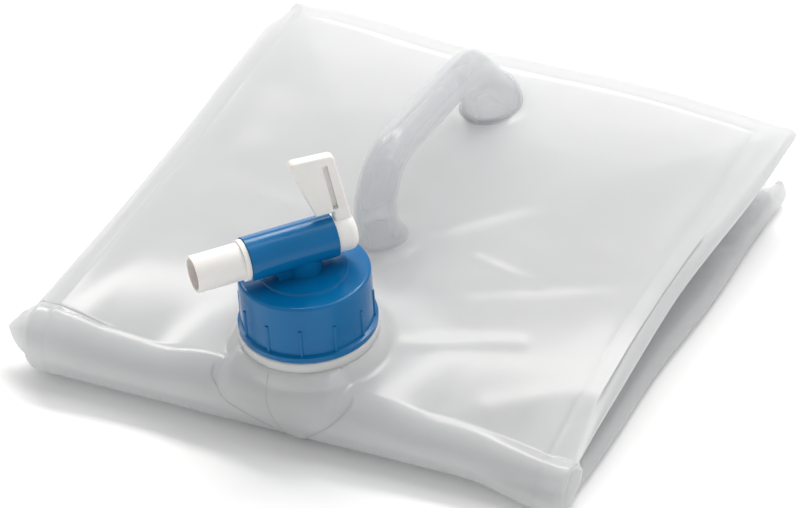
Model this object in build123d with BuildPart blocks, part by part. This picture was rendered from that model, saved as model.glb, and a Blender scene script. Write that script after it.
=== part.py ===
"""Folding water carrier with a tap, folded flat for storage. Millimetres, +Z up.

The container is one blow-moulded film cube. Folded, one half of the cube nests inside the other half and
the pair closes like a book: the upper leaf is the top panel over the nested back panel, and the lower leaf
is the front panel, on the table, under the nested bottom panel. The leaves meet in a roll of film, the
spine, along the front. The side walls fold inwards between the leaves as gussets of two layers.
The neck and the carrying handle stand on the upper leaf. The screw cap carries a barrel, and a valve plug
turns in the barrel: its flag lever opens the port from the neck into its spout.
"""

from build123d import *
from math import cos, radians, sin
import os

# Container, folded
half_width = 129.0          # outer half width of the folded leaves
leaf_length = 253.0         # from the spine's axis to the rear fold
film = 0.6                  # wall of the moulded film
leaf_tilt = 4.0             # degrees that the upper leaf stands open at rest
spine_y = -124.0            # axis of the spine
spine_z = 16.0
joint_gap = 0.4             # between the films of the two leaves where they turn

# Film layers of one leaf, as distances from the spine's axis to the face towards the outside
lower_outer = 16.0          # front panel
upper_outer = lower_outer - film - joint_gap
nest_depth = 3.6            # from an outer panel to the panel nested in it
gusset_outer_depth = 10.2   # from an outer panel's outside to the far face of the outer gusset
gusset_inner_depth = 7.2    # the same for the nested gusset

# Gussets
gusset_start = 4.0          # clear of the spine
gusset_apex_x = 5.0         # the two sides' gussets stop this far from the middle
moulded_edge_inset = 11.0   # the cube's moulded edges lie inside the folded edges
moulded_edge_width = 1.4
moulded_edge_height = 0.7
nest_clearance = 1.2        # between an outer side fold and the side fold nested in it

# Spine shells, in degrees about the spine's axis, 0 to the rear and 90 up
outer_seam = 220.0          # where the lower shell begins
inner_seam = 176.0
seam_overlap = 4.0

# Neck, on the upper leaf
neck_x = -4.5
neck_y = 20.4               # behind the spine's axis, along the leaf
neck_bore = 23.5
neck_outer = 25.1
neck_base_radius = 34.0
neck_shoulder_radius = 29.4
neck_collar_radius = 30.2
neck_wall = 1.6
neck_collar_low = 22.6      # heights above the spine's axis
neck_collar_high = 27.2
neck_shoulder_drop = 1.2    # the cone's top below the collar
neck_throat_rise = 0.9      # the bore's foot above the collar's underside

# Screw thread of the neck and cap
thread_pitch = 6.0
thread_turns = 1.25
thread_root = 2.4
thread_crest = 1.2
thread_sink = 0.2           # how far a ridge is let into its wall
neck_thread_height = 1.6
neck_thread_low = 33.0

# Cap
cap_low = 27.7
cap_height = 27.5
cap_flange_radius = 30.5
cap_flange_height = 2.4
cap_radius = 28.9
cap_inner = 27.4
cap_thread_height = 1.5
cap_top_wall = 2.2
cap_disc_radius = 19.0
cap_disc_height = 0.8
cap_edge_round = 1.4
cap_step = 0.5              # the slopes of the flange and the disc
rib_count = 12
rib_width = 1.8
rib_proud = 0.7
rib_height = 13.0
rib_phase = 21.0            # degrees from the leaf's X axis to the first rib
rib_sink = 0.3              # how far a rib is let into the cap

# Gasket under the cap's top
gasket_thickness = 1.6
gasket_gap = 0.3
gasket_inner = 23.8
gasket_outer = 26.7

# Barrel, on the cap. Distances along it are from the cap's axis towards the spout
spout_azimuth = 227.6
barrel_rise = 13.8          # from the cap's top to the barrel's axis
barrel_radius = 9.8
barrel_bore = 8.3
barrel_spout_end = 25.5
barrel_lever_end = -14.1
port_radius = 4.5
port_overcut = 1.0
boss_radius = 8.2
web_width = 9.0
web_reach = 13.0

# Valve plug
core_radius = 8.25
core_bore = 5.8
core_bore_end = -11.4
collar_radius = 9.1
collar_length = 2.2
groove_overcut = 0.2        # cuts run this far past the face they open
end_gap = 0.3               # between the barrel's ends and the plug's shoulders
spout_radius = 8.2
spout_bore = 7.0
spout_length = 21.4
stem_radius = 8.6
stem_length = 9.6
stem_edge_round = 3.6
flag_thickness = 5.0
flag_corner = 2.5
flag_edge_round = 1.1
flag_slot_width = 2.4
flag_slot_depth = 2.0
flag_slot = [(1.9, 14.2), (-1.7, 37.5)]     # its ends: past the barrel's lever end, above the axis
flag_profile = [                            # the flag's outline, measured the same way
    (9.3, 0.0),
    (9.3, 5.0),
    (2.9, 41.4),
    (-18.2, 42.9),
    (-7.2, 12.6),
    (1.0, 12.6),
    (1.0, 0.0),
]
o_ring_positions = (-9.0, 9.0)
o_ring_width = 1.9
o_ring_floor = 6.7
o_ring_section = 0.74
o_ring_clearance = 0.05

# Handle: points along the leaf from the near foot, and heights above the leaf
handle_near = (-7.3, 98.6)
handle_far = (-3.5, 213.2)
handle_route = [(0.4, 4.0), (-4.6, 20.0), (11.5, 40.6), (96.0, 36.0), (112.6, 5.6)]
handle_bends = [14.0, 22.0, 16.0]
handle_radius = 8.3
handle_wall = 1.2
foot_radius = 13.0
foot_height = 9.0

os.makedirs("parts", exist_ok=True)

lower_leaf = Plane(origin=(0, spine_y, spine_z))
tilt = radians(leaf_tilt)
upper_leaf = Plane(origin=(0, spine_y, spine_z), x_dir=(1, 0, 0), z_dir=(0, -sin(tilt), cos(tilt)))
neck_plane = Plane(
    origin=upper_leaf.from_local_coords((neck_x, neck_y, 0)),
    x_dir=upper_leaf.x_dir,
    z_dir=upper_leaf.z_dir,
)
neck_section = Plane(origin=neck_plane.origin, x_dir=neck_plane.x_dir, z_dir=-neck_plane.y_dir)
neck_axis = Axis(neck_plane.origin, neck_plane.z_dir)
edge_y = leaf_length - nest_depth / 2 - film / 2


def finish(part, name):
    """Labels a finished piece and writes it."""
    part.label = name
    export_step(part, f"parts/{name}.step")
    print(f"{name}: {part.volume / 1000:.2f} cm3")


def ring_sector(inner, outer, start, size):
    """The profile of a curved wall, from start through size degrees about the sketch's origin."""
    with BuildSketch() as sector:
        with BuildLine():
            outside = CenterArc((0, 0), outer, start, size)
            inside = CenterArc((0, 0), inner, start, size)
            Line(outside @ 0, inside @ 0)
            Line(outside @ 1, inside @ 1)
        make_face()
    return sector.sketch


def spine_shell(name, outer, start, end, reach, neck_hole=0.0):
    """A stretch of the rolled film along the front, with a hole where the neck stands on it."""
    with BuildPart() as shell:
        with BuildSketch(Plane(origin=(-reach, spine_y, spine_z), x_dir=(0, 1, 0), z_dir=(1, 0, 0))):
            add(ring_sector(outer - film, outer, start, end - start))
        extrude(amount=2 * reach)
        if neck_hole:
            with BuildSketch(neck_plane):
                Circle(neck_hole)
            extrude(amount=2 * lower_outer, mode=Mode.SUBTRACT)
    finish(shell.part, name)


def gusset_film(name, leaf, side, fold_x, edge_layer, gusset_layer):
    """One side's gusset in one leaf: a triangular film and the rolled fold at its edge."""
    fold_low, fold_high = leaf.span(edge_layer, gusset_layer)
    radius = (fold_high - fold_low) / 2
    roll_section = Plane(
        origin=leaf.plane.from_local_coords((side * fold_x, edge_y, (fold_low + fold_high) / 2)),
        x_dir=leaf.plane.x_dir,
        z_dir=-leaf.plane.y_dir,
    )
    with BuildPart() as gusset:
        with BuildSketch(leaf.plane.offset(gusset_layer[0])):
            with BuildLine():
                Polyline(
                    (side * fold_x, gusset_start),
                    (side * gusset_apex_x, (gusset_start + edge_y) / 2),
                    (side * fold_x, edge_y),
                    close=True,
                )
            make_face()
        extrude(amount=film)
        with BuildSketch(roll_section):
            add(ring_sector(radius - film, radius, 90 if side < 0 else -90, 180))
        extrude(amount=edge_y - gusset_start)
    finish(gusset.part, name)


def rear_fold(name, leaf, low, high, reach):
    """The fold along the rear, from an outer panel to the panel nested in it."""
    radius = (high - low) / 2
    section = Plane(
        origin=leaf.from_local_coords((-reach, leaf_length - radius, (low + high) / 2)),
        x_dir=leaf.y_dir,
        z_dir=leaf.x_dir,
    )
    with BuildPart() as fold:
        with BuildSketch(section):
            add(ring_sector(radius - film, radius, -90, 180))
        extrude(amount=2 * reach)
    finish(fold.part, name)


class Leaf:
    """The heights of one leaf's film layers above its plane, as (low, high) pairs."""

    def __init__(self, plane, outer, up):
        self.plane = plane
        self.up = up
        self.panel = self.layer(outer)
        self.nested = self.layer(outer - nest_depth)
        self.gusset = self.layer(outer - gusset_outer_depth + film)
        self.inner_gusset = self.layer(outer - gusset_inner_depth + film)

    def layer(self, outside):
        return (outside - film, outside) if self.up else (-outside, -outside + film)

    def span(self, first, second):
        return min(first[0], second[0]), max(first[1], second[1])


upper = Leaf(upper_leaf, upper_outer, up=True)
lower = Leaf(lower_leaf, lower_outer, up=False)

outer_low, outer_high = upper.span(upper.panel, upper.gusset)
outer_roll_radius = (outer_high - outer_low) / 2
outer_roll_x = half_width - outer_roll_radius
inner_low, inner_high = upper.span(upper.nested, upper.inner_gusset)
inner_roll_radius = (inner_high - inner_low) / 2
inner_roll_x = half_width - film - nest_clearance - inner_roll_radius

# Handle frame: its plane stands on the leaf along the moulded centre line
near_foot = Vector(upper_leaf.from_local_coords((*handle_near, upper_outer)))
far_foot = Vector(upper_leaf.from_local_coords((*handle_far, upper_outer)))
handle_run = (far_foot - near_foot).normalized()
handle_plane = Plane(
    origin=near_foot, x_dir=handle_run, z_dir=handle_run.cross(upper_leaf.z_dir)
)
foot_distance = (far_foot - near_foot).length

# Outer panels
with BuildPart() as front_panel:
    with BuildSketch(lower_leaf.offset(lower.panel[0])):
        with Locations((0, edge_y / 2)):
            Rectangle(2 * outer_roll_x, edge_y)
    extrude(amount=film)
finish(front_panel.part, "front_panel")

with BuildPart() as top_panel:
    with BuildSketch(upper_leaf.offset(upper.panel[0])):
        with Locations((0, edge_y / 2)):
            Rectangle(2 * outer_roll_x, edge_y)
    extrude(amount=film)
    # The cube's moulded edges stand up as low ridges, set in from the folded edges
    with BuildSketch(upper_leaf.offset(upper.panel[1])):
        ridge_x = half_width - moulded_edge_inset
        ridge_y = leaf_length - moulded_edge_inset
        with Locations((-ridge_x, ridge_y / 2), (ridge_x, ridge_y / 2)):
            Rectangle(moulded_edge_width, ridge_y)
        with Locations((0, ridge_y)):
            Rectangle(2 * ridge_x + moulded_edge_width, moulded_edge_width)
    extrude(amount=moulded_edge_height)
    with BuildSketch(neck_plane):
        Circle(neck_base_radius - neck_wall)
    extrude(amount=2 * lower_outer, mode=Mode.SUBTRACT)
    with BuildSketch(upper_leaf):
        with Locations(handle_near, handle_far):
            Circle(foot_radius - handle_wall)
    extrude(amount=2 * lower_outer, mode=Mode.SUBTRACT)
finish(top_panel.part, "top_panel")

# Nested panels
for name, leaf in (("bottom_panel", lower), ("back_panel", upper)):
    with BuildPart() as nested_panel:
        with BuildSketch(leaf.plane.offset(leaf.nested[0])):
            with Locations((0, edge_y / 2)):
                Rectangle(2 * inner_roll_x, edge_y)
        extrude(amount=film)
    finish(nested_panel.part, name)

# Rear folds
for name, leaf in (("rear_fold_lower", lower), ("rear_fold_upper", upper)):
    fold_low, fold_high = leaf.span(leaf.panel, leaf.nested)
    rear_fold(name, leaf.plane, fold_low, fold_high, inner_roll_x)

# Spine: an outer roll and the roll nested in it, each in an upper and a lower shell
spine_shell("spine_lower", lower_outer, outer_seam, 270, outer_roll_x)
spine_shell(
    "spine_upper",
    upper_outer,
    90 + leaf_tilt,
    outer_seam + seam_overlap,
    outer_roll_x,
    neck_hole=neck_base_radius - neck_wall,
)
spine_shell("inner_spine_lower", lower_outer - nest_depth, inner_seam, 270, inner_roll_x)
spine_shell(
    "inner_spine_upper", upper_outer - nest_depth, 90 + leaf_tilt, inner_seam + seam_overlap, inner_roll_x
)

# Gussets: each side has an outer and a nested layer in each leaf
for side, side_name in ((-1, "left"), (1, "right")):
    for leaf, leaf_name in ((upper, "upper"), (lower, "lower")):
        place = f"{side_name}_{leaf_name}"
        gusset_film(f"gusset_{place}", leaf, side, outer_roll_x, leaf.panel, leaf.gusset)
        gusset_film(f"inner_gusset_{place}", leaf, side, inner_roll_x, leaf.nested, leaf.inner_gusset)


def thread_ridge(root_radius, height, inwards):
    """A helical ridge about +Z that starts on the +X side, to add to a wall of root_radius."""
    sense = -1 if inwards else 1
    start = root_radius - sense * thread_sink
    with BuildPart() as ridge:
        with BuildLine():
            helix = Helix(pitch=thread_pitch, height=thread_pitch * thread_turns, radius=start)
        with BuildSketch(Plane(origin=helix @ 0, x_dir=(sense, 0, 0), z_dir=helix % 0)):
            with BuildLine():
                Polyline(
                    (0, -thread_root / 2),
                    (height + thread_sink, -thread_crest / 2),
                    (height + thread_sink, thread_crest / 2),
                    (0, thread_root / 2),
                    close=True,
                )
            make_face()
        sweep(path=helix.edge(), is_frenet=True)
    return ridge.part


# Neck: a shoulder on the leaf, a collar, and the threaded mouth
neck_top = cap_low + cap_height - cap_top_wall - gasket_gap * 2 - gasket_thickness
with BuildPart() as neck:
    # In front of the leaf's flat film the shoulder reaches down onto the spine's roll
    with BuildSketch(neck_plane):
        Circle(neck_base_radius)
        Circle(neck_base_radius - neck_wall, mode=Mode.SUBTRACT)
    extrude(amount=upper_outer)
    with BuildSketch(upper_leaf):
        with Locations((0, leaf_length / 2)):
            Rectangle(2 * half_width, leaf_length)
    extrude(amount=upper_outer, mode=Mode.SUBTRACT)
    with BuildSketch(Plane(origin=(-half_width, spine_y, spine_z), x_dir=(0, 1, 0), z_dir=(1, 0, 0))):
        Circle(upper_outer)
    extrude(amount=2 * half_width, mode=Mode.SUBTRACT)
    with BuildSketch(neck_section):
        with BuildLine():
            Polyline(
                (neck_base_radius, upper_outer),
                (neck_shoulder_radius, neck_collar_low - neck_shoulder_drop),
                (neck_shoulder_radius, neck_collar_low),
                (neck_collar_radius, neck_collar_low),
                (neck_collar_radius, neck_collar_high),
                (neck_outer, neck_collar_high),
                (neck_outer, neck_top),
                (neck_bore, neck_top),
                (neck_bore, neck_collar_low + neck_throat_rise),
                (neck_shoulder_radius - neck_wall, neck_collar_low - neck_shoulder_drop),
                (neck_base_radius - neck_wall, upper_outer),
                close=True,
            )
        make_face()
    revolve(axis=neck_axis)
    with Locations(neck_plane.offset(neck_thread_low)):
        add(thread_ridge(neck_outer, neck_thread_height, inwards=False))
finish(neck.part, "neck")

# Handle: a hollow loop with a flared foot at each end
handle_feet = [
    Plane(
        origin=handle_plane.from_local_coords((distance, 0, 0)),
        x_dir=handle_run,
        z_dir=upper_leaf.z_dir,
    )
    for distance in (0, foot_distance)
]
with BuildPart() as carry_handle:
    for foot in handle_feet:
        with Locations(foot.offset(foot_height / 2)):
            Cone(foot_radius, handle_radius, foot_height)
    for radius, mode in ((handle_radius, Mode.ADD), (handle_radius - handle_wall, Mode.SUBTRACT)):
        with BuildLine(handle_plane) as route:
            FilletPolyline(*handle_route, radius=handle_bends)
        with BuildSketch(Plane(origin=route.wire() @ 0, z_dir=route.wire() % 0)):
            Circle(radius)
        sweep(path=route.wire(), mode=mode)
    for foot in handle_feet:
        with Locations(foot.offset(foot_height / 2)):
            Cone(foot_radius - handle_wall, handle_radius - handle_wall, foot_height, mode=Mode.SUBTRACT)
finish(carry_handle.part, "carry_handle")

# Gasket
with BuildPart() as cap_gasket:
    with BuildSketch(neck_plane.offset(neck_top + gasket_gap)):
        Circle(gasket_outer)
        Circle(gasket_inner, mode=Mode.SUBTRACT)
    extrude(amount=gasket_thickness)
finish(cap_gasket.part, "cap_gasket")

# Tap frame: along the spout, up the neck's axis, and across
cap_top = cap_low + cap_height
angle = radians(spout_azimuth)
spout_dir = (neck_plane.x_dir * cos(angle) + neck_plane.y_dir * sin(angle)).normalized()
up_dir = neck_plane.z_dir
across_dir = spout_dir.cross(up_dir)
barrel_centre = neck_plane.from_local_coords((0, 0, cap_top + barrel_rise))


def across_barrel(distance):
    """The plane square to the barrel at a distance along it, its normal towards the spout."""
    return Plane(origin=barrel_centre + spout_dir * distance, x_dir=up_dir, z_dir=spout_dir)


# Screw cap and tap barrel, one moulding
with BuildPart() as tap_cap:
    with BuildSketch(neck_section):
        with BuildLine():
            Polyline(
                (0, cap_top + cap_disc_height),
                (cap_disc_radius, cap_top + cap_disc_height),
                (cap_disc_radius + cap_step, cap_top),
                (cap_radius - cap_edge_round, cap_top),
            )
            RadiusArc(
                (cap_radius - cap_edge_round, cap_top),
                (cap_radius, cap_top - cap_edge_round),
                cap_edge_round,
            )
            Polyline(
                (cap_radius, cap_top - cap_edge_round),
                (cap_radius, cap_low + cap_flange_height + cap_step),
                (cap_flange_radius, cap_low + cap_flange_height),
                (cap_flange_radius, cap_low),
                (cap_inner, cap_low),
                (cap_inner, cap_top - cap_top_wall),
                (0, cap_top - cap_top_wall),
                (0, cap_top + cap_disc_height),
            )
        make_face()
    revolve(axis=neck_axis)
    with BuildSketch(neck_plane.offset(cap_low + cap_step)):
        with PolarLocations(cap_radius - rib_sink, rib_count, start_angle=rib_phase):
            SlotOverall(2 * (rib_proud + rib_sink), rib_width)
    extrude(amount=cap_flange_height + rib_height)
    with BuildSketch(neck_plane):
        Circle(cap_inner)
    extrude(amount=cap_top - cap_top_wall, mode=Mode.SUBTRACT)
    with Locations(neck_plane.offset(neck_thread_low + thread_pitch / 2)):
        add(thread_ridge(cap_inner, cap_thread_height, inwards=True))
    with BuildSketch(neck_plane.offset(cap_top)):
        Circle(boss_radius)
    extrude(amount=barrel_rise)
    web_foot = neck_plane.from_local_coords((0, 0, cap_top))
    with BuildSketch(Plane(origin=web_foot, x_dir=spout_dir, z_dir=up_dir)):
        with Locations((web_reach / 2, 0)):
            Rectangle(web_reach, web_width)
    extrude(amount=barrel_rise)
    with BuildSketch(across_barrel(barrel_lever_end)):
        Circle(barrel_radius)
    extrude(amount=barrel_spout_end - barrel_lever_end)
    with BuildSketch(across_barrel(barrel_lever_end)):
        Circle(barrel_bore)
    extrude(amount=barrel_spout_end - barrel_lever_end, mode=Mode.SUBTRACT)
    with BuildSketch(neck_plane.offset(cap_top - cap_top_wall - port_overcut)):
        Circle(port_radius)
    extrude(amount=barrel_rise + cap_top_wall + port_overcut, mode=Mode.SUBTRACT)
finish(tap_cap.part, "tap_cap")

# Valve plug: core, collar and spout in line, the stem past the barrel's other end, and the flag lever
collar_start = barrel_spout_end + end_gap
spout_start = collar_start + collar_length
spout_end = spout_start + spout_length
stem_start = barrel_lever_end - end_gap
flag_plane = Plane(origin=barrel_centre, x_dir=-spout_dir, z_dir=-across_dir)


def flag_points(measured):
    """Points on the flag's plane, from distances past the barrel's lever end and heights above its axis."""
    return [(-barrel_lever_end + beyond, height) for beyond, height in measured]


with BuildPart() as flag:
    with BuildSketch(flag_plane.offset(-flag_thickness / 2)) as flag_face:
        with BuildLine():
            Polyline(*flag_points(flag_profile), close=True)
        make_face()
        fillet(flag_face.vertices().sort_by(Axis.Y)[-2:], flag_corner)
    extrude(amount=flag_thickness)
    fillet(flag.faces().filter_by(Axis((0, 0, 0), across_dir)).edges(), flag_edge_round)
    # A finger slot, sunk into the face towards the front
    with BuildSketch(flag_plane.offset(flag_thickness / 2 - flag_slot_depth)):
        with BuildLine():
            Line(*flag_points(flag_slot))
        trace(line_width=flag_slot_width)
    extrude(amount=flag_slot_depth, mode=Mode.SUBTRACT)
with BuildPart() as valve_plug:
    with BuildSketch(across_barrel(stem_start)):
        Circle(core_radius)
    extrude(amount=collar_start - stem_start)
    with BuildSketch(across_barrel(collar_start)):
        Circle(collar_radius)
    extrude(amount=collar_length)
    with BuildSketch(across_barrel(spout_start)):
        Circle(spout_radius)
    extrude(amount=spout_length)
    with BuildSketch(across_barrel(stem_start - stem_length)):
        Circle(stem_radius)
    extrude(amount=stem_length)
    fillet(valve_plug.faces().sort_by(Axis(barrel_centre, spout_dir))[0].edges(), stem_edge_round)
    add(flag.part)
    for groove in o_ring_positions:
        with BuildSketch(across_barrel(groove - o_ring_width / 2)):
            Circle(core_radius + groove_overcut)
            Circle(o_ring_floor, mode=Mode.SUBTRACT)
        extrude(amount=o_ring_width, mode=Mode.SUBTRACT)
    with BuildSketch(across_barrel(core_bore_end)):
        Circle(core_bore)
    extrude(amount=spout_end - core_bore_end, mode=Mode.SUBTRACT)
    with BuildSketch(across_barrel(spout_start)):
        Circle(spout_bore)
    extrude(amount=spout_length, mode=Mode.SUBTRACT)
    # Closed at rest: the port faces across the barrel, and a quarter turn brings it over the cap's port
    with BuildSketch(Plane(origin=barrel_centre, x_dir=spout_dir, z_dir=-across_dir)):
        Circle(port_radius)
    extrude(amount=core_radius + port_overcut, mode=Mode.SUBTRACT)
finish(valve_plug.part, "valve_plug")

# O-rings, in the plug's grooves on each side of its port
with BuildPart() as valve_o_rings:
    for groove in o_ring_positions:
        ring_centre = across_barrel(groove)
        with BuildSketch(Plane(origin=ring_centre.origin, x_dir=up_dir, z_dir=across_dir)):
            with Locations((o_ring_floor + o_ring_clearance + o_ring_section, 0)):
                Circle(o_ring_section)
        revolve(axis=Axis(ring_centre.origin, spout_dir))
finish(valve_o_rings.part, "valve_o_rings")

for label, point in (
    ("neck axis point", neck_plane.origin),
    ("neck axis direction", neck_plane.z_dir),
    ("barrel centre", barrel_centre),
    ("spout direction", spout_dir),
    ("spout middle", barrel_centre + spout_dir * ((spout_start + spout_end) / 2)),
    ("handle near foot", near_foot),
    ("handle far foot", far_foot),
):
    print(f"{label}: {point.X:.4f} {point.Y:.4f} {point.Z:.4f}")
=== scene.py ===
"""Folding water carrier: the look of its film container, neck, handle, cap and tap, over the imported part."""

import math

import bmesh
import bpy
import numpy as np
from mathutils import Matrix, Vector, noise


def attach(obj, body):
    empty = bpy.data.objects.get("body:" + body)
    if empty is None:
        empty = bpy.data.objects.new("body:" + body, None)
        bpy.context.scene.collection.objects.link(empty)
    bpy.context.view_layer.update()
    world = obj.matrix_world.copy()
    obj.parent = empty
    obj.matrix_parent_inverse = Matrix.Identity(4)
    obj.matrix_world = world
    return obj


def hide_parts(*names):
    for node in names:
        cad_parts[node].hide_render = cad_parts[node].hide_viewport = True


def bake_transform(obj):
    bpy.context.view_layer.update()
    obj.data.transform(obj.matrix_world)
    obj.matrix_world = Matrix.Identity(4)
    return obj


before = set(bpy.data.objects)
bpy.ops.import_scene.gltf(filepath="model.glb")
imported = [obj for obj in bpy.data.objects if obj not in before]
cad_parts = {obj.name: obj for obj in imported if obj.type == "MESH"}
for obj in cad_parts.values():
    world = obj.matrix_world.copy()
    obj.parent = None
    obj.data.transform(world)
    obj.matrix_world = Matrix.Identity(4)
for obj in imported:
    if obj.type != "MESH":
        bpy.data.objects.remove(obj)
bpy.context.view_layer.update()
MM = 0.001
MM_PER_M = 1000

# ---------------------------------------------------------------- the part's own places
# The leaves fold about a line along X. The upper leaf's plane rises from it towards the back, square to
# the neck, whose axis is neck_back along that plane.
leaf_tilt = math.radians(4.0)
spine_y = -0.124
spine_z = 0.016
neck_x = -0.0045
neck_back = 0.0204

leaf_run = np.array([0.0, math.cos(leaf_tilt), math.sin(leaf_tilt)])
leaf_up = np.array([0.0, -math.sin(leaf_tilt), math.cos(leaf_tilt)])
spine = np.array([0.0, spine_y, spine_z])
neck_origin = spine + leaf_run * neck_back + np.array([neck_x, 0.0, 0.0])

# The folded container's own sizes: its leaves, and how deep each layer of film lies in them
leaf_length = 0.253
half_width = 0.129
lower_outer = 0.016
upper_outer = 0.015
film = 0.0006
nest_depth = 0.0036
gusset_depth = 0.0102
nested_gusset_depth = 0.0072


# ---------------------------------------------------------------- helpers
def smooth(low, high, value):
    """0 below low, 1 above high, and a smooth step between."""
    t = np.clip((np.asarray(value, float) - low) / (high - low), 0.0, 1.0)
    return t * t * (3.0 - 2.0 * t)


def bump(centre, width, value):
    """A smooth hump of height 1 round centre, gone at width from it."""
    t = np.clip(1.0 - np.abs(np.asarray(value, float) - centre) / width, 0.0, 1.0)
    return t * t * (3.0 - 2.0 * t)


def soft_max(a, b, blend):
    """The larger of two values, rounded where they cross."""
    return 0.5 * (a + b + np.sqrt((a - b) ** 2 + blend * blend))


def fold_noise(x, y, scale, seed):
    """Smooth noise from -1 to 1 over arrays."""
    flat = [
        noise.noise(Vector((float(a) / scale, float(b) / scale, seed)))
        for a, b in zip(np.ravel(x), np.ravel(y))
    ]
    return np.array(flat).reshape(np.shape(x))


def segment(x, y, start, end, width):
    """A ridge of height 1 along the line from start to end, fading over width beside it and at its ends."""
    ax, ay = start
    bx, by = end
    dx, dy = bx - ax, by - ay
    length = math.hypot(dx, dy)
    along = ((x - ax) * dx + (y - ay) * dy) / length
    beside = ((x - ax) * dy - (y - ay) * dx) / length
    over = np.maximum(np.maximum(-along, along - length), 0.0)
    distance = np.sqrt(beside**2 + over**2) / width
    return np.exp(-(distance**2) * 2.0)


def new_mesh(name, verts, faces, smooth_shading=True):
    mesh = bpy.data.meshes.new(name)
    mesh.from_pydata([tuple(map(float, v)) for v in verts], [], faces)
    mesh.update()
    obj = bpy.data.objects.new(name, mesh)
    bpy.context.scene.collection.objects.link(obj)
    if smooth_shading:
        mesh.polygons.foreach_set("use_smooth", [True] * len(mesh.polygons))
    return obj


def grid_faces(rows, columns, first=0, flip=False, closed=False):
    """Quads of a grid whose points run row by row."""
    faces = []
    last = columns if closed else columns - 1
    for j in range(rows - 1):
        for i in range(last):
            a = first + j * columns + i
            b = first + j * columns + (i + 1) % columns
            c = b + columns
            d = a + columns
            faces.append((a, d, c, b) if flip else (a, b, c, d))
    return faces


# ---------------------------------------------------------------- materials
class Nodes:
    """A material's node tree, built a node at a time."""

    def __init__(self, name):
        self.material = bpy.data.materials.new(name)
        self.material.use_nodes = True
        self.tree = self.material.node_tree
        self.tree.nodes.clear()

    def add(self, kind, inputs=None, **settings):
        node = self.tree.nodes.new(kind)
        for key, value in settings.items():
            setattr(node, key, value)
        for key, value in (inputs or {}).items():
            if isinstance(value, bpy.types.NodeSocket):
                self.tree.links.new(value, node.inputs[key])
            else:
                node.inputs[key].default_value = value
        return node

    def noise(self, scale, detail, roughness=0.5, vector=None):
        inputs = {"Scale": scale, "Detail": detail, "Roughness": roughness}
        if vector is not None:
            inputs["Vector"] = vector
        return self.add("ShaderNodeTexNoise", inputs).outputs["Fac"]

    def spread(self, value, low, high):
        """value, which runs from 0.25 to 0.75 or so, spread from low to high."""
        return self.add(
            "ShaderNodeMapRange",
            {"Value": value, "From Min": 0.25, "From Max": 0.75, "To Min": low, "To Max": high},
            interpolation_type="SMOOTHERSTEP",
        ).outputs["Result"]

    def math(self, operation, a, b=0.0):
        return self.add("ShaderNodeMath", {0: a, 1: b}, operation=operation).outputs[0]

    def line(self, name, width):
        """A fine line where the named attribute's X is 0. X is a distance in mm, Y the line's strength."""
        stored = self.add("ShaderNodeAttribute", attribute_name=name).outputs["Vector"]
        parts = self.add("ShaderNodeSeparateXYZ", {0: stored})
        away = self.math("DIVIDE", parts.outputs["X"], width)
        fall = self.math("MULTIPLY", self.math("MULTIPLY", away, away), -1.0)
        return self.math("MULTIPLY", self.math("EXPONENT", fall), parts.outputs["Y"])

    def bumped(self, height, strength, distance, normal=None):
        inputs = {"Height": height, "Strength": strength, "Distance": distance}
        if normal is not None:
            inputs["Normal"] = normal
        return self.add("ShaderNodeBump", inputs).outputs["Normal"]

    def finish(self, shader):
        self.add("ShaderNodeOutputMaterial", {"Surface": shader})
        return self.material


# The film's fine lines, with each one's width in mm: bumped into the film, with painted shade along them
FILM_LINES = (
    ("line_funnel", 0.55),
    ("line_centre", 0.40),
    ("line_side", 1.3),
    ("line_rear", 1.3),
    ("line_front", 0.5),
)


def film_material():
    """Milky polyethylene film: cloudy, a little clear, with a soft gloss, and painted shade along its fine
    lines.
    """
    m = Nodes("milky_film")
    place = m.add("ShaderNodeTexCoord").outputs["Object"]
    broad = m.noise(9.0, 3.0, vector=place)
    fine = m.noise(90.0, 2.0, vector=place)
    speckle = m.noise(700.0, 2.0, vector=place)
    normal = m.bumped(broad, 0.10, 0.004)
    normal = m.bumped(fine, 0.06, 0.0005, normal)
    normal = m.bumped(speckle, 0.03, 0.0001, normal)
    lines = 0.0
    for name, width in FILM_LINES:
        lines = m.math("ADD", m.line(name, width), lines)
    normal = m.bumped(lines, 0.9, 0.0006, normal)
    rough = m.spread(broad, 0.17, 0.25)
    # Painted shade: the film's colour darkens towards grey along the crease and moulded lines
    tint = m.add(
        "ShaderNodeMix",
        {
            "Factor": m.math("MULTIPLY", lines, 0.22),
            "A": (0.72, 0.722, 0.728, 1),
            "B": (0.42, 0.42, 0.42, 1),
        },
        data_type="RGBA",
    )
    gloss = m.add(
        "ShaderNodeBsdfPrincipled",
        {
            "Base Color": tint.outputs["Result"],
            "Roughness": rough,
            "IOR": 1.51,
            "Specular IOR Level": 0.8,
            "Normal": normal,
        },
    )
    through = m.add("ShaderNodeBsdfTranslucent", {"Color": (0.93, 0.935, 0.94, 1), "Normal": normal})
    clear = m.add("ShaderNodeBsdfTransparent", {"Color": (0.97, 0.975, 0.98, 1)})
    milky = m.add("ShaderNodeMixShader", {0: 0.46, 1: gloss.outputs[0], 2: through.outputs[0]})
    edge = m.add("ShaderNodeLayerWeight", {"Blend": 0.35}).outputs["Facing"]
    clarity = m.add(
        "ShaderNodeMapRange",
        {"Value": edge, "From Min": 0.0, "From Max": 1.0, "To Min": 0.26, "To Max": 0.04},
    ).outputs["Result"]
    mixed = m.add("ShaderNodeMixShader", {0: clarity, 1: milky.outputs[0], 2: clear.outputs[0]})
    return m.finish(mixed.outputs[0])


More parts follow.
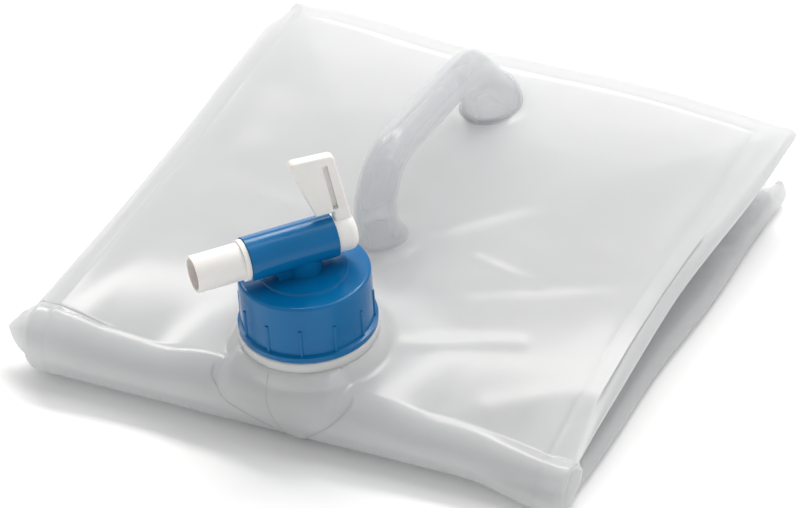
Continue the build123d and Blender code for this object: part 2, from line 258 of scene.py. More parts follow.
def moulding_material(name, clarity_face, clarity_edge, colour, seen_through):
    """Thicker moulded polyethylene, as in the neck and the handle: clearer to look through, glossy."""
    m = Nodes(name)
    place = m.add("ShaderNodeTexCoord").outputs["Object"]
    broad = m.noise(45.0, 2.0, vector=place)
    fine = m.noise(420.0, 3.0, vector=place)
    normal = m.bumped(broad, 0.2, 0.0012)
    normal = m.bumped(fine, 0.08, 0.0003, normal)
    rough = m.spread(broad, 0.10, 0.22)
    gloss = m.add(
        "ShaderNodeBsdfPrincipled",
        {
            "Base Color": colour,
            "Roughness": rough,
            "IOR": 1.51,
            "Specular IOR Level": 0.9,
            "Normal": normal,
        },
    )
    through = m.add("ShaderNodeBsdfTranslucent", {"Color": (0.90, 0.905, 0.91, 1), "Normal": normal})
    clear = m.add("ShaderNodeBsdfTransparent", {"Color": seen_through})
    milky = m.add("ShaderNodeMixShader", {0: 0.35, 1: gloss.outputs[0], 2: through.outputs[0]})
    edge = m.add("ShaderNodeLayerWeight", {"Blend": 0.3}).outputs["Facing"]
    clarity = m.add(
        "ShaderNodeMapRange",
        {"Value": edge, "From Min": 0.0, "From Max": 1.0, "To Min": clarity_face, "To Max": clarity_edge},
    ).outputs["Result"]
    mixed = m.add("ShaderNodeMixShader", {0: clarity, 1: milky.outputs[0], 2: clear.outputs[0]})
    return m.finish(mixed.outputs[0])


def plastic_material(name, colour, worn, rough_low, rough_high, subsurface=0.0, specular=0.5):
    """Injection-moulded plastic: fine skin texture, uneven gloss and faint scuffs."""
    m = Nodes(name)
    place = m.add("ShaderNodeTexCoord").outputs["Object"]
    mottled = m.noise(60.0, 4.0, vector=place)
    skin = m.noise(1500.0, 2.0, vector=place)
    flow = m.noise(18.0, 3.0, vector=place)
    normal = m.bumped(skin, 0.12, 0.00012)
    normal = m.bumped(flow, 0.10, 0.0008, normal)
    amount = m.spread(mottled, 0.0, 1.0)
    tint = m.add("ShaderNodeMix", {"Factor": amount, "A": colour, "B": worn}, data_type="RGBA")
    rough = m.spread(mottled, rough_low, rough_high)
    body = m.add(
        "ShaderNodeBsdfPrincipled",
        {
            "Base Color": tint.outputs["Result"],
            "Roughness": rough,
            "IOR": 1.49,
            "Subsurface Weight": subsurface,
            "Subsurface Scale": 0.002,
            "Specular IOR Level": specular,
            "Normal": normal,
        },
    )
    return m.finish(body.outputs[0])


film_skin = film_material()
neck_skin = moulding_material("moulded_neck", 0.22, 0.04, (0.92, 0.92, 0.91, 1), (0.96, 0.97, 0.975, 1))
handle_skin = moulding_material("moulded_handle", 0.86, 0.20, (0.66, 0.67, 0.68, 1), (0.95, 0.955, 0.96, 1))
blue = plastic_material(
    "blue_cap", (0.0, 0.120, 0.315, 1), (0.0, 0.132, 0.335, 1), 0.16, 0.26, specular=0.30
)
white = plastic_material(
    "white_tap", (0.80, 0.79, 0.77, 1), (0.77, 0.76, 0.735, 1), 0.28, 0.42, subsurface=0.25
)
rubber = plastic_material("gasket_rubber", (0.10, 0.10, 0.11, 1), (0.13, 0.13, 0.14, 1), 0.5, 0.7)


def paint(obj, material):
    obj.data.materials.clear()
    obj.data.materials.append(material)


# ---------------------------------------------------------------- the film container
# One closed sheet. Each leaf has an outer strip and a nested strip, and each strip runs from one side's
# crease, round the side's roll, over the leaf and round to the other side's crease.
ROWS = 156
ACROSS = 236
ROLL = 12
GUSSET = 34
SPINE_ROWS = 72
SPINE_NESTED_ROWS = 40
REAR_ROUND = 0.0045
APEX_X = 0.005
LEFT_TIP = 0.0145
LEFT_TIP_LENGTH = 0.055
RIGHT_TIP = 0.003
RIGHT_TIP_LENGTH = 0.030
middle = leaf_length / 2


class Strip:
    """One strip of film: the heights of its panel and gusset from the leaf's plane, and its reach."""

    def __init__(self, up, height, gusset_height, reach, crease_shift):
        self.up = up
        self.height = height
        self.gusset_height = gusset_height
        self.reach = reach
        self.crease_shift = crease_shift

    def drop(self, side, along):
        """How much deeper the side's roll hangs than the plain fold."""
        if not self.up or self.crease_shift:
            return 0.0
        deep = 0.0035 if side > 0 else 0.0015
        return deep * float(smooth(0.0, 0.05, along) * (1 - smooth(0.20, 0.25, along)))


nested_reach = half_width - 0.0024
upper_layers = [upper_outer - film / 2, upper_outer - gusset_depth + film / 2]
lower_layers = [lower_outer - film / 2, lower_outer - gusset_depth + film / 2]
upper_nested = [upper_outer - nest_depth - film / 2, upper_outer - nested_gusset_depth + film / 2]
lower_nested = [lower_outer - nest_depth - film / 2, lower_outer - nested_gusset_depth + film / 2]
upper_skin = Strip(True, *upper_layers, half_width, 0.0)
lower_skin = Strip(False, *lower_layers, half_width, 0.0)
upper_nest = Strip(True, *upper_nested, nested_reach, 0.003)
lower_nest = Strip(False, *lower_nested, nested_reach, 0.003)


def crease_depth(along):
    """How far in the gusset's crease lies, from 0 at the side's edge to 1 at the apex."""
    t = np.where(along < middle, along / middle, (leaf_length - along) / (leaf_length - middle))
    return np.clip(t, 0.0, 1.0)


def row_positions():
    """Distances along the leaf of the strip's rows, closer together at both ends."""
    t = np.linspace(0.0, 1.0, ROWS)
    ease = 0.5 - 0.5 * np.cos(np.pi * t)
    return leaf_length * (0.7 * t + 0.3 * ease)


def strip_columns():
    """The kinds of column across a strip: (part, side, position in the part)."""
    columns = [("gusset", -1, i / GUSSET) for i in range(GUSSET, 0, -1)]
    columns += [("roll", -1, i / ROLL) for i in range(ROLL, 0, -1)]
    for i in range(ACROSS + 1):
        t = -1.0 + 2.0 * i / ACROSS
        columns.append(("across", 0, 0.6 * t + 0.4 * math.sin(math.pi / 2 * t)))
    columns += [("roll", 1, i / ROLL) for i in range(1, ROLL + 1)]
    columns += [("gusset", 1, i / GUSSET) for i in range(1, GUSSET + 1)]
    return columns


COLUMNS = strip_columns()
SHARES = np.array([t if part == "gusset" else 0.0 for part, side, t in COLUMNS])
along_rows = row_positions()


def edge_shift(side, along, up):
    """How far the side's folded edge wanders from a straight line."""
    t = along / leaf_length
    ends = math.sin(math.pi * t)
    if side > 0:
        wander = -0.0008 * ends + 0.0006 * math.sin(9.0 * t + 0.6) * ends
        wander += 0.0045 * float(smooth(0.45, 1.0, t)) * up
    else:
        wander = 0.0026 + 0.0005 * math.sin(7.0 * t + 2.0) * ends
        wander -= 0.0060 * float(smooth(0.90, 1.0, t))
    if not up:
        wander = wander * 0.6 + 0.0010 * math.sin(11.0 * t + 1.0) * ends
    return wander


def tip_reach(side, along):
    """How far the side's film stands out past the fold at the spine's end."""
    reach, length = (LEFT_TIP, LEFT_TIP_LENGTH) if side < 0 else (RIGHT_TIP, RIGHT_TIP_LENGTH)
    return reach * float(1 - smooth(0.0, length, along))


def strip_section(strip, along):
    """The strip's points at one distance along the leaf: (x, height, share of the gusset's depth)."""
    points = []
    share = float(crease_depth(along))
    for part, side, t in COLUMNS:
        shift = edge_shift(side, along, strip.up) if side else 0.0
        edge = strip.reach + shift
        deep = strip.gusset_height - strip.drop(side, along)
        roll = (strip.height - deep) / 2
        centre = strip.height - roll
        wrap = float(smooth(0.0, 0.020, along) if side > 0 else smooth(0.012, 0.050, along))
        if part == "across":
            flat_roll = (strip.height - strip.gusset_height) / 2
            points.append((t * (strip.reach - flat_roll), strip.height, 0.0))
        elif part == "roll":
            turn = math.pi / 2 - t * (math.pi / 2) * (1 + wrap)
            x = edge - roll + roll * math.cos(turn)
            points.append((side * x, centre + roll * math.sin(turn), 0.0))
        else:
            turn = -math.pi / 2 * wrap
            start_x = edge - roll + roll * math.cos(turn)
            start_h = centre + roll * math.sin(turn)
            tip = tip_reach(side, along) * (1.0 if strip.crease_shift == 0 else 0.8)
            inward = (edge - APEX_X) * share + strip.crease_shift * (1 - share)
            crease_x = edge + tip - inward
            bend = t**0.55 if crease_x > start_x else t
            x = start_x + (crease_x - start_x) * bend
            level = float(smooth(0.0, 0.4, t))
            plain = centre * (1 - wrap) + strip.gusset_height * wrap
            points.append((side * x, start_h * (1 - level) + plain * level, t))
    return points


def bisector(along):
    """The point of the plane midway between the leaves, at a distance along them, as (y, z)."""
    half = leaf_tilt / 2
    return spine_y + along * math.cos(half), spine_z + along * math.sin(half)


def leaf_point(up, x, along, height):
    if up:
        return spine + leaf_run * along + leaf_up * height + np.array([x, 0.0, 0.0])
    return spine + np.array([x, along, -height])


def strip_points(strip, partner_gusset_height):
    """All the strip's points, as rows x columns x 3, before the film's own form is added."""
    points = np.zeros((ROWS, len(COLUMNS), 3))
    shared_height = (strip.gusset_height + partner_gusset_height) / 2
    for j, along in enumerate(along_rows):
        section = strip_section(strip, along)
        mid_y, mid_z = bisector(along)
        rear = float(smooth(middle, middle + 0.045, along))
        spans = {-1: half_width - abs(section[0][0]), 1: half_width - abs(section[-1][0])}
        for i, (x, height, t) in enumerate(section):
            base = leaf_point(strip.up, x, along, height)
            if t > 0:
                joined = leaf_point(strip.up, x, along, shared_height)
                crease = np.array([x, mid_y, mid_z]) * (1 - rear) + joined * rear
                span = max(spans[COLUMNS[i][1]], 1e-6)
                begin = max(0.0, 1.0 - 0.030 / span)
                near = float(smooth(begin, 1.0, t))
                base = base * (1 - near) + crease * near
            points[j, i] = base
    return points


def close_rear(outer, nested):
    """Rounds the rear edges: both strips meet halfway between them at the last row."""
    meet = (outer + nested) / 2
    reach = np.clip((along_rows - (leaf_length - REAR_ROUND)) / REAR_ROUND, 0.0, 1.0)
    keep = np.sqrt(1 - reach**2)[:, None, None]
    return meet + (outer - meet) * keep, meet + (nested - meet) * keep


def spine_points(strip_upper, strip_lower, count):
    """The roll of film from the upper leaf's first row round to the lower leaf's."""
    angles = np.linspace(math.pi / 2 + leaf_tilt, math.pi * 1.5, count)
    top = np.array(strip_section(strip_upper, 0.0))
    bottom = np.array(strip_section(strip_lower, 0.0))
    t = np.linspace(0.0, 1.0, count)[:, None]
    x = top[None, :, 0] * (1 - t) + bottom[None, :, 0] * t
    radius = (top[None, :, 1] * (1 - t) + bottom[None, :, 1] * t) * (1 - SHARES[None, :])
    y = spine_y + radius * np.cos(angles)[:, None]
    z = spine_z + radius * np.sin(angles)[:, None]
    return np.stack([x, y, z], axis=2), angles


# ---- the form that the folded film takes, as rises above the upper leaf's plane
NECK_AT = (neck_x, neck_back)
HANDLE_FEET = ((-0.0073, 0.0986), (-0.0035, 0.2132))
LEFT_EDGE_X = -0.1190
RIGHT_EDGE_X = 0.1165
REAR_EDGE = 0.2415
# The creases over the top: each one's height (below 0, its depth), its two ends and its width
CREASES = (
    (-0.0004, (0.034, 0.034), (0.080, 0.052), 0.0070),
    (0.0005, (0.012, 0.112), (0.050, 0.150), 0.0090),
    (0.0005, (0.050, 0.078), (0.100, 0.105), 0.0080),
    (-0.0003, (0.040, 0.100), (0.072, 0.092), 0.0040),
    (0.0006, (0.085, 0.010), (0.118, 0.036), 0.0110),
)


def moulded_edge(distance, width):
    return np.exp(-((distance / width) ** 2))


DOME_RADII = (0.0290, 0.0306, 0.0316, 0.0328, 0.0339, 0.0347, 0.0356, 0.0380)
DOME_RISES = (0.0074, 0.0070, 0.0060, 0.0044, 0.0026, 0.0012, 0.0004, 0.0)


def dome(from_neck):
    """How far the film stands up over the neck's moulded base."""
    return np.interp(from_neck, DOME_RADII, DOME_RISES)


def top_form(x, along, skin):
    """How far the upper leaf's film stands above its plane."""
    left = smooth(0.03, 0.129, -x)
    right = smooth(0.03, 0.129, x)
    back = smooth(0.08, 0.253, along)
    front = 1 - smooth(0.0, 0.09, along)
    rise = 0.0050 * left * back - 0.0040 * right * back + 0.0045 * left
    rise = rise - 0.0064 * smooth(0.070, 0.129, x) * front
    # Fuller in the middle than along its edges
    rise = rise + 0.0020 * (1 - smooth(0.055, 0.129, np.abs(x))) * smooth(0.0, 0.055, along)
    rise = rise + 0.0006 * smooth(0.17, 0.245, along)
    corner = 1 - smooth(0.095, 0.122, -x)
    front_slope = (1 - np.clip(along / 0.048, 0.0, 1.0)) ** 2 * smooth(0.040, 0.070, np.abs(x - neck_x))
    rise = rise - 0.0044 * front_slope * corner
    rise = rise - 0.0022 * smooth(0.100, 0.129, np.abs(x))
    # Drawn up round the neck, and flared up into the handle's feet
    from_neck = np.hypot(x - NECK_AT[0], along - NECK_AT[1])
    rise = rise * smooth(0.035, 0.062, from_neck) + 0.0008 * (1 - smooth(0.036, 0.060, from_neck))
    if skin:
        rise = rise + dome(from_neck)
    for foot_x, foot_along in HANDLE_FEET:
        from_foot = np.hypot(x - foot_x, along - foot_along)
        rise = rise + 0.0010 * (1 - smooth(0.0130, 0.0210, from_foot))
    # Moulded edges of the cube
    rise = rise + 0.0003 * moulded_edge(x - LEFT_EDGE_X, 0.0030) * (1 - 0.6 * smooth(0.03, 0.12, along))
    rise = rise + 0.0004 * moulded_edge(x - RIGHT_EDGE_X, 0.0030) * smooth(0.02, 0.06, along)
    rise = rise + 0.0003 * moulded_edge(along - REAR_EDGE, 0.0022) * bump(0.0, 0.20, x)
    for height, start, end, width in CREASES:
        rise = rise + height * segment(x, along, start, end, width)
    return rise


def film_waves(x, along, seed):
    broad = fold_noise(x, along, 0.060, seed)
    medium = fold_noise(x, along, 0.022, seed + 4.0)
    from_neck = np.hypot(x - NECK_AT[0], along - NECK_AT[1])
    calm = 0.15 + 0.85 * smooth(0.030, 0.085, along)
    return (0.0010 * broad + 0.00028 * medium) * smooth(0.036, 0.060, from_neck) * calm


def lifted(points, rise, leaf_normal, full):
    """points moved out along the leaf's normal, the layers nearer the middle plane less."""
    height = np.clip((points - spine) @ leaf_normal, 0.0, None)
    return points + (rise * height / full)[:, :, None] * leaf_normal


grid_along = np.repeat(along_rows[:, None], len(COLUMNS), axis=1)
upper_points = strip_points(upper_skin, upper_nest.gusset_height)
nest_points = strip_points(upper_nest, upper_skin.gusset_height)
lower_points = strip_points(lower_skin, lower_nest.gusset_height)
floor_nest_points = strip_points(lower_nest, lower_skin.gusset_height)
spine_skin, spine_angles = spine_points(upper_skin, lower_skin, SPINE_ROWS)
spine_nest, spine_nest_angles = spine_points(upper_nest, lower_nest, SPINE_NESTED_ROWS)

rises = {}
for key, points in (("skin", upper_points), ("nest", nest_points)):
    x = points[:, :, 0]
    rises[key] = top_form(x, grid_along, key == "skin") + film_waves(x, grid_along, 3.1)
upper_points = lifted(upper_points, rises["skin"], leaf_up, upper_skin.height)
nest_points = lifted(nest_points, rises["nest"], leaf_up, upper_skin.height)


def roll_rise(points, angles, rise):
    """The spine's roll carries the first row's rise on, and it dies away round the roll."""
    share = 1 - smooth(math.radians(94), math.radians(215), angles)
    offset = points - spine
    radius = np.hypot(offset[:, :, 1], offset[:, :, 2])
    grown = np.clip(rise[None, :] * share[:, None] * radius / upper_skin.height, -0.8 * radius, None)
    direction = np.stack([np.zeros_like(angles), np.cos(angles), np.sin(angles)], axis=1)
    return points + grown[:, :, None] * direction[:, None, :]


spine_skin = roll_rise(spine_skin, spine_angles, rises["skin"][0])
spine_nest = roll_rise(spine_nest, spine_nest_angles, rises["nest"][0])

# ---- neck funnel: in front of the leaf the film drapes from the neck's base down over the roll
FUNNEL_RADIUS = 0.0338
FUNNEL_TOP_Z = 0.030
FUNNEL_FOOT = 0.0035
FUNNEL_FOOT_X = 0.003
FUNNEL_TIP = 0.0025
FUNNEL_SPAN = 0.05
FUNNEL_END = math.radians(250)


def funnel_share(z):
    """0 at the funnel's foot, and 1 at its top."""
    return smooth(FUNNEL_FOOT - 0.003, FUNNEL_TOP_Z, z)


def funnel_half(z):
    """Half the funnel's width at a height."""
    return FUNNEL_TIP + (FUNNEL_RADIUS - FUNNEL_TIP) * funnel_share(z)


def funnel_place(x, z):
    """Where a point of the front is across the funnel: 0 in its middle and 1 at its side lines."""
    share = funnel_share(z)
    centre = neck_x * share + FUNNEL_FOOT_X * (1 - share)
    return (x - centre) / funnel_half(z)


REACHES = np.linspace(0.008, 0.060, 261)


def dome_reach(x, angle):
    """How far from the spine's line a ray in the plane at x leaves the film over the neck's base."""
    height = REACHES * math.sin(angle - leaf_tilt)
    along = REACHES * math.cos(angle - leaf_tilt)
    from_neck = np.hypot(x - neck_x, along - neck_back)
    outside = height > upper_outer + 0.0006 + dome(from_neck)
    return REACHES[int(np.argmax(outside))] if outside.any() else REACHES[-1]


for j, angle in enumerate(spine_angles):
    cos_a = math.cos(angle)
    sin_a = math.sin(angle)
    for i, (part, side, t) in enumerate(COLUMNS):
        if part != "across" or abs(spine_skin[j, i, 0] - neck_x) > FUNNEL_SPAN or angle > FUNNEL_END:
            continue
        x, y, z = spine_skin[j, i]
        radius = math.hypot(y - spine_y, z - spine_z)
        place = float(funnel_place(x, z))
        if abs(place) < 1.0:
            front = neck_origin[1] - 0.0012 - FUNNEL_RADIUS * math.sqrt(1 - place * place)
            to_front = (front - spine_y) / cos_a if cos_a < -0.02 else 1.0
            to_top = dome_reach(x, angle)
            wanted = min(to_front, to_top)
            wanted = radius + (wanted - radius) * float(smooth(FUNNEL_FOOT, 0.021, z))
            if wanted < REACHES[-1]:
                radius = float(soft_max(radius, wanted, 0.0010))
        line = 0.0004 * math.exp(-(((abs(place) - 1.0) / 0.10) ** 2))
        line_fade = smooth(FUNNEL_FOOT - 0.002, FUNNEL_FOOT + 0.006, z) * (1 - smooth(0.026, 0.030, z))
        radius += line * float(line_fade)
        spine_skin[j, i, 1] = spine_y + radius * cos_a
        spine_skin[j, i, 2] = spine_z + radius * sin_a

# Moulded edge down the spine's left end, and the film's small waves along the front
spine_x = spine_skin[:, :, 0]
spine_arc = np.repeat((spine_angles * lower_outer)[:, None], len(COLUMNS), axis=1)
spine_small = 0.0003 * moulded_edge(spine_x - LEFT_EDGE_X, 0.0020)
front_fade = (1 - smooth(math.radians(225), math.radians(262), spine_angles))[:, None]
start_fade = smooth(math.radians(94), math.radians(110), spine_angles)[:, None]
waves = film_waves(spine_x, spine_arc, 5.3) * start_fade
spine_small = spine_small * front_fade + 0.8 * waves * front_fade * (1 - SHARES[None, :])
spine_direction = np.stack([np.zeros_like(spine_angles), np.cos(spine_angles), np.sin(spine_angles)], axis=1)
# The film's loose loop low down at the right end
loop = smooth(0.080, 0.126, spine_x) * bump(math.radians(222), math.radians(46), spine_angles)[:, None]
spine_small = spine_small + 0.0065 * loop * (1 - SHARES[None, :])
spine_skin = spine_skin + spine_small[:, :, None] * spine_direction[:, None, :]

# The lower leaf's crumpled corner, at the back right
for points in (lower_points, floor_nest_points):
    corner_x = points[:, :, 0]
    crumple = smooth(0.060, 0.118, corner_x) * smooth(0.150, 0.225, grid_along)
    ruffle = fold_noise(corner_x, grid_along, 0.020, 8.2)
    ruffle = ruffle + 0.4 * fold_noise(corner_x, grid_along, 0.008, 9.7)
    points[:, :, 2] *= 1 + crumple * (0.35 + 0.55 * ruffle)

upper_points[0] = spine_skin[0]
lower_points[0] = spine_skin[-1]
nest_points[0] = spine_nest[0]
floor_nest_points[0] = spine_nest[-1]
upper_points, nest_points = close_rear(upper_points, nest_points)
lower_points, floor_nest_points = close_rear(lower_points, floor_nest_points)

# ---- fine moulded and folded lines, as (distance in mm, strength) over each sheet; the strength sets both their bump and their painted shade
FLAT_COLUMNS = np.array([part != "gusset" for part, side, t in COLUMNS], float)


def lines_of(**named):
    """Distances (m, turned into mm) and strengths by line name, with no lines on the gussets."""
    return {
        name: (distance * MM_PER_M, share * FLAT_COLUMNS[None, :])
        for name, (distance, share) in named.items()
    }


def side_distance(x):
    """0 on both of the moulded lines along the cube's sides."""
    return (x - LEFT_EDGE_X) * (RIGHT_EDGE_X - x) / (RIGHT_EDGE_X - LEFT_EDGE_X)


skin_x = upper_points[:, :, 0]
skin_lines = lines_of(
    line_side=(side_distance(skin_x), np.full_like(skin_x, 0.30)),
    line_rear=(grid_along - REAR_EDGE, 0.25 * (1 - smooth(0.112, 0.118, np.abs(skin_x)))),
    line_front=(grid_along - 0.003 - 0.05 * (-skin_x - 0.119), smooth(0.088, 0.112, -skin_x)),
)
front_x = spine_skin[:, :, 0]
front_z = spine_skin[:, :, 2]
front_place = funnel_place(front_x, front_z)
front_half = funnel_half(front_z)
forward = smooth(math.radians(112), math.radians(128), spine_angles)[:, None]
underneath = smooth(math.radians(240), math.radians(255), spine_angles)[:, None]
low_fade = smooth(0.0015, 0.0040, front_z) * forward * (1 - underneath)
spine_lines = lines_of(
    line_side=(side_distance(front_x), 0.40 * front_fade * np.ones_like(front_x)),
    line_funnel=((np.abs(front_place) - 1.0) * front_half, low_fade),
    line_centre=(front_place * front_half + 0.004, 0.6 * low_fade),
)

# ---- join the strips into one closed sheet
LINE_NAMES = [name for name, width in FILM_LINES]
all_points = []
all_faces = []
all_weights = []
all_lines = {name: [] for name in LINE_NAMES}


def fold_weight(angle):
    """How far a point on the spine's roll follows the lower leaf."""
    return smooth(math.radians(145), math.radians(270), angle)


def add_sheet(points, weights, flip, lines=None):
    first = len(all_points)
    rows, columns, _ = points.shape
    points[:, :, 2] = np.maximum(points[:, :, 2], 0.0)
    none = np.zeros((rows, columns))
    for name in LINE_NAMES:
        distance, share = (lines or {}).get(name, (np.ones((rows, columns)), none))
        all_lines[name].append(np.stack([distance, share, none], axis=2).reshape(-1, 3))
    all_points.extend(points.reshape(-1, 3))
    all_weights.extend(weights.reshape(-1))
    all_faces.extend(grid_faces(rows, columns, first, flip))


def strip_weights(up):
    """The gussets follow their own leaf at its edge, and go half way with the other one at the apex."""
    depth = crease_depth(along_rows)[:, None]
    towards_other = 0.5 * smooth(0.0, 1.0, SHARES)[None, :]
    rear = (along_rows > middle)[:, None]
    weight = np.where(rear, towards_other * depth, towards_other)
    return weight if up else 1 - weight


def spine_weights(angles):
    ends = smooth(0.0, 1.0, SHARES)[None, :]
    return fold_weight(angles)[:, None] * (1 - ends) + 0.5 * ends


add_sheet(upper_points, strip_weights(True), False, skin_lines)
add_sheet(nest_points, strip_weights(True), True)
add_sheet(lower_points, strip_weights(False), True)
add_sheet(floor_nest_points, strip_weights(False), False)
add_sheet(spine_skin, spine_weights(spine_angles), True, spine_lines)
add_sheet(spine_nest, spine_weights(spine_nest_angles), False)

bag = new_mesh("film_container", all_points, all_faces)
weight_layer = bag.data.attributes.new("fold_share", "FLOAT", "POINT")
weight_layer.data.foreach_set("value", np.array(all_weights, np.float32))
for name in LINE_NAMES:
    layer = bag.data.attributes.new(name, "FLOAT_VECTOR", "POINT")
    layer.data.foreach_set("vector", np.concatenate(all_lines[name]).astype(np.float32).reshape(-1))

# The film stops under the neck's collar: what lies inside NECK_HOLE goes, and what is left inside
# NECK_RIM_TOP is drawn into a circle at NECK_RIM
NECK_HOLE = 0.0300
NECK_RIM = 0.0303
NECK_RIM_TOP = 0.0313
sheet = bmesh.new()
sheet.from_mesh(bag.data)
bmesh.ops.remove_doubles(sheet, verts=sheet.verts, dist=0.00004)
up_axis = Vector(leaf_up)
hidden = []
for vert in sheet.verts:
    offset = vert.co - Vector(neck_origin)
    height = offset.dot(up_axis)
    outward = offset - up_axis * height
    if height < upper_outer - 0.0022 or outward.length > NECK_RIM_TOP:
        continue
    if outward.length < NECK_HOLE:
        hidden.append(vert)
    else:
        rim_height = upper_outer + DOME_RISES[1]
        vert.co = Vector(neck_origin) + outward.normalized() * NECK_RIM + up_axis * rim_height
bmesh.ops.delete(sheet, geom=hidden, context="VERTS")
bmesh.ops.recalc_face_normals(sheet, faces=sheet.faces)
sheet.to_mesh(bag.data)
sheet.free()

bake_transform(bag)
stored = np.zeros(len(bag.data.vertices), np.float32)
bag.data.attributes["fold_share"].data.foreach_get("value", stored)

paint(bag, film_skin)
film_starts = ("rear_fold", "spine_", "inner_spine", "gusset_", "inner_gusset")
film_nodes = [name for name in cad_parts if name.endswith("_panel") or name.startswith(film_starts)]
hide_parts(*film_nodes)

# ---------------------------------------------------------------- neck
neck_across = np.array([1.0, 0.0, 0.0])
NECK_PROFILE = [
    (33.4, 14.2), (33.0, 15.6), (32.2, 17.4), (31.2, 19.2), (30.2, 20.6), (29.6, 21.4), (29.8, 22.2),
    (30.5, 22.7), (30.8, 23.4), (30.8, 26.4), (30.5, 27.0), (29.9, 27.2), (26.0, 27.3), (25.3, 27.6),
    (25.1, 28.4), (25.1, 32.0), (25.1, 44.0), (25.1, 50.3), (24.7, 50.8), (23.9, 50.8), (23.5, 50.4),
    (23.5, 44.0), (23.5, 32.0), (23.5, 24.2), (24.6, 23.0), (27.6, 20.8), (29.8, 18.8), (31.4, 16.6),
    (32.2, 14.6),
]
NECK_STEPS = 144
NECK_WALL = 25.1
COLLAR_WALL = 26.5
BASE_WALL = 28
PARTING_ANGLES = (math.radians(262), math.radians(82))
PARTING_HEIGHT = 0.45
PARTING_WIDTH = math.radians(1.6)


def on_neck(radius, angle, height):
    outward = math.cos(angle) * neck_across + math.sin(angle) * leaf_run
    return neck_origin + leaf_up * height + radius * outward


neck_points = []
for radius, height in NECK_PROFILE + [NECK_PROFILE[0]]:
    for k in range(NECK_STEPS):
        angle = 2 * math.pi * k / NECK_STEPS
        parting = 0.0
        if radius > COLLAR_WALL:
            for line in PARTING_ANGLES:
                turned = math.atan2(math.sin(angle - line), math.cos(angle - line))
                parting += PARTING_HEIGHT * math.exp(-((turned / PARTING_WIDTH) ** 2))
        swell = 0.12 * noise.noise(Vector((math.cos(angle) * 2, math.sin(angle) * 2, height * 0.1)))
        outside = radius + parting + swell * (radius > BASE_WALL)
        neck_points.append(on_neck(outside * MM, angle, height * MM))
neck_faces = grid_faces(len(NECK_PROFILE) + 1, NECK_STEPS, 0, False, closed=True)
neck_look = new_mesh("neck_moulding", neck_points, neck_faces)

THREAD_PITCH = 6.0
THREAD_TURNS = 1.25
THREAD_LOW = 33.0
THREAD_SECTION = [
    (-0.25, -1.3), (0.9, -0.95), (1.5, -0.5), (1.6, 0.0), (1.5, 0.5), (0.9, 0.95), (-0.25, 1.3),
]
thread_points = []
thread_steps = int(72 * THREAD_TURNS)
for k in range(thread_steps + 1):
    turn = k / thread_steps
    angle = 2 * math.pi * THREAD_TURNS * turn
    height = THREAD_LOW + THREAD_PITCH * THREAD_TURNS * turn
    size = float(smooth(0.0, 0.05, turn) * (1 - smooth(0.95, 1.0, turn)))
    for out, rise in THREAD_SECTION:
        radius = NECK_WALL + (out * size if out > 0 else out)
        thread_points.append(on_neck(radius * MM, angle, (height + rise) * MM))
thread_faces = []
wide = len(THREAD_SECTION)
for k in range(thread_steps):
    for i in range(wide):
        a = k * wide + i
        b = k * wide + (i + 1) % wide
        thread_faces.append((a, b, b + wide, a + wide))
thread_faces.append(tuple(range(wide - 1, -1, -1)))
thread_faces.append(tuple(thread_steps * wide + i for i in range(wide)))
thread = new_mesh("neck_thread", thread_points, thread_faces)
for piece in (neck_look, thread):
    paint(piece, neck_skin)
    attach(piece, "upper_leaf")
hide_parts("neck")

# ---------------------------------------------------------------- carrying handle
near_foot, far_foot = [leaf_point(True, x, along, upper_outer) for x, along in HANDLE_FEET]
handle_run = (far_foot - near_foot) / np.linalg.norm(far_foot - near_foot)
handle_across = np.cross(handle_run, leaf_up)
# The grip's line in mm: along from the near foot, above the leaf, half width across, half width in plane
HANDLE_ROUTE = [
    (0.6, -1.0, 13.2, 13.6), (0.3, 2.0, 11.8, 12.4), (-0.7, 6.0, 10.0, 10.8), (-2.2, 12.0, 9.4, 9.9),
    (-3.0, 18.5, 9.2, 9.6), (-1.6, 25.0, 9.0, 9.3), (2.4, 31.5, 8.6, 8.9), (8.6, 37.0, 8.4, 8.4),
    (17.0, 40.0, 8.2, 8.1), (30.0, 40.0, 8.0, 8.0), (50.0, 39.0, 7.9, 7.9), (70.0, 37.8, 7.9, 7.9),
    (84.0, 36.6, 8.2, 8.3), (92.5, 33.8, 8.6, 9.4), (98.6, 28.2, 9.0, 10.4), (103.2, 20.8, 9.6, 11.4),
    (107.8, 12.0, 10.4, 12.8), (111.2, 5.4, 11.8, 14.2), (113.0, 2.8, 13.0, 15.6), (113.1, 1.4, 13.4, 16.0),
]


def spline(points, steps):
    """A smooth line through the points, with steps rings between each two."""
    rows = np.array(points, float)
    rows = np.vstack([2 * rows[0] - rows[1], rows, 2 * rows[-1] - rows[-2]])
    result = []
    for k in range(1, len(rows) - 2):
        p0, p1, p2, p3 = rows[k - 1 : k + 3]
        for t in np.arange(steps) / steps:
            result.append(
                0.5 * (2 * p1 + (p2 - p0) * t + (2 * p0 - 5 * p1 + 4 * p2 - p3) * t**2
                       + (3 * p1 - p0 - 3 * p2 + p3) * t**3)
            )
    result.append(rows[-2])
    return np.array(result)


route = spline(HANDLE_ROUTE, 6)
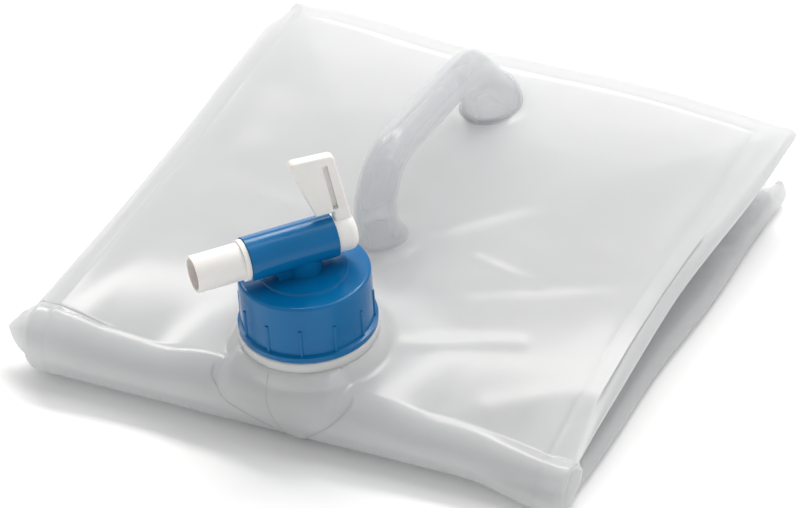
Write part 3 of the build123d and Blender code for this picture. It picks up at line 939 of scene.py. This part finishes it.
# The grip is a little slimmer than the line's widths, except at its far foot
SLIM = 0.93
route[:, 2:] *= (SLIM + (1 - SLIM) * smooth(95.0, 114.0, route[:, 0]))[:, None]
HANDLE_STEPS = 64
slopes = np.gradient(route[:, :2], axis=0)
slopes = slopes / np.linalg.norm(slopes, axis=1)[:, None]
handle_points = []
for row, slope in zip(route, slopes):
    centre = near_foot + handle_run * row[0] * MM + leaf_up * row[1] * MM
    outward = handle_run * -slope[1] + leaf_up * slope[0]
    for k in range(HANDLE_STEPS):
        angle = 2 * math.pi * k / HANDLE_STEPS
        cos_a = math.cos(angle)
        sin_a = math.sin(angle)
        ridge = 0.30 * math.exp(-((cos_a / 0.07) ** 2))
        wave = 0.10 * noise.noise(Vector((row[0] * 0.08, cos_a, sin_a)))
        handle_points.append(
            centre
            + handle_across * cos_a * (row[2] + wave) * MM
            + outward * sin_a * (row[3] + ridge + wave) * MM
        )
handle_faces = grid_faces(len(route), HANDLE_STEPS, 0, False, closed=True)
handle_look = new_mesh("handle_loop", handle_points, handle_faces)
wall = handle_look.modifiers.new("wall", "SOLIDIFY")
wall.thickness = 0.0012
wall.offset = -1.0
paint(handle_look, handle_skin)
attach(handle_look, "upper_leaf")
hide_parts("carry_handle")

# ---------------------------------------------------------------- the CAD pieces that are kept
for name, material in (
    ("tap_cap", blue),
    ("valve_plug", white),
    ("cap_gasket", rubber),
    ("valve_o_rings", rubber),
):
    paint(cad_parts[name], material)

# ---------------------------------------------------------------- floor, light and camera
FLOOR_GAP = 0.0004
WORLD_STRENGTH = 0.62
LIT_POINT = Vector((0, 0, 0.03))
floor = new_mesh("floor", [(-6, -6, 0), (6, -6, 0), (6, 6, 0), (-6, 6, 0)], [(0, 1, 2, 3)], False)
floor.location.z = -FLOOR_GAP
ground = Nodes("pale_floor")
ground_rough = ground.spread(ground.noise(3.0, 2.0), 0.8, 0.95)
matte = ground.add(
    "ShaderNodeBsdfPrincipled", {"Base Color": (0.93, 0.93, 0.93, 1), "Roughness": ground_rough}
)
paint(floor, ground.finish(matte.outputs[0]))

world = bpy.data.worlds.new("studio")
bpy.context.scene.world = world
world.use_nodes = True
world.node_tree.nodes["Background"].inputs["Color"].default_value = (1, 1, 1, 1)
world.node_tree.nodes["Background"].inputs["Strength"].default_value = WORLD_STRENGTH


def area_light(name, place, width, height, power, along=(1, 0, 0), colour=(1, 1, 1)):
    """A soft box facing the part, its width lying as nearly as it can along the given direction."""
    data = bpy.data.lights.new(name, "AREA")
    data.shape = "RECTANGLE"
    data.size = width
    data.size_y = height
    data.energy = power
    data.color = colour
    lamp = bpy.data.objects.new(name, data)
    bpy.context.scene.collection.objects.link(lamp)
    away = (Vector(place) - LIT_POINT).normalized()
    side = (Vector(along) - away * away.dot(Vector(along))).normalized()
    lamp.rotation_euler = Matrix((side, away.cross(side), away)).transposed().to_euler()
    lamp.location = place


area_light("key", (0.83, 0.61, 2.16), 1.44, 1.28, 17)
area_light("front_band", (-0.61, 1.25, 2.05), 2.80, 0.48, 46, (0.925, 0.20, 0.31), (1.0, 0.985, 0.95))
area_light("back_left", (-1.60, 1.84, 0.70), 1.60, 0.72, 6, (0.75, 0.66, 0))
area_light("back", (0.16, 1.68, 1.92), 0.80, 0.64, 3)

eye = Vector((0.66441, -1.37364, 1.00965))
target = Vector((-0.0126, 0.0026, 0.0119))
back = (eye - target).normalized()
right = Vector((0.9069, 0.4206, -0.0246))
right = (right - back * right.dot(back)).normalized()
above = back.cross(right)
camera_data = bpy.data.cameras.new("view")
camera_data.lens = 180
camera_data.sensor_width = 36
camera = bpy.data.objects.new("view", camera_data)
bpy.context.scene.collection.objects.link(camera)
camera.matrix_world = Matrix(
    (
        (right.x, above.x, back.x, eye.x),
        (right.y, above.y, back.y, eye.y),
        (right.z, above.z, back.z, eye.z),
        (0, 0, 0, 1),
    )
)
bpy.context.scene.camera = camera
bpy.context.scene.view_settings.view_transform = "Standard"
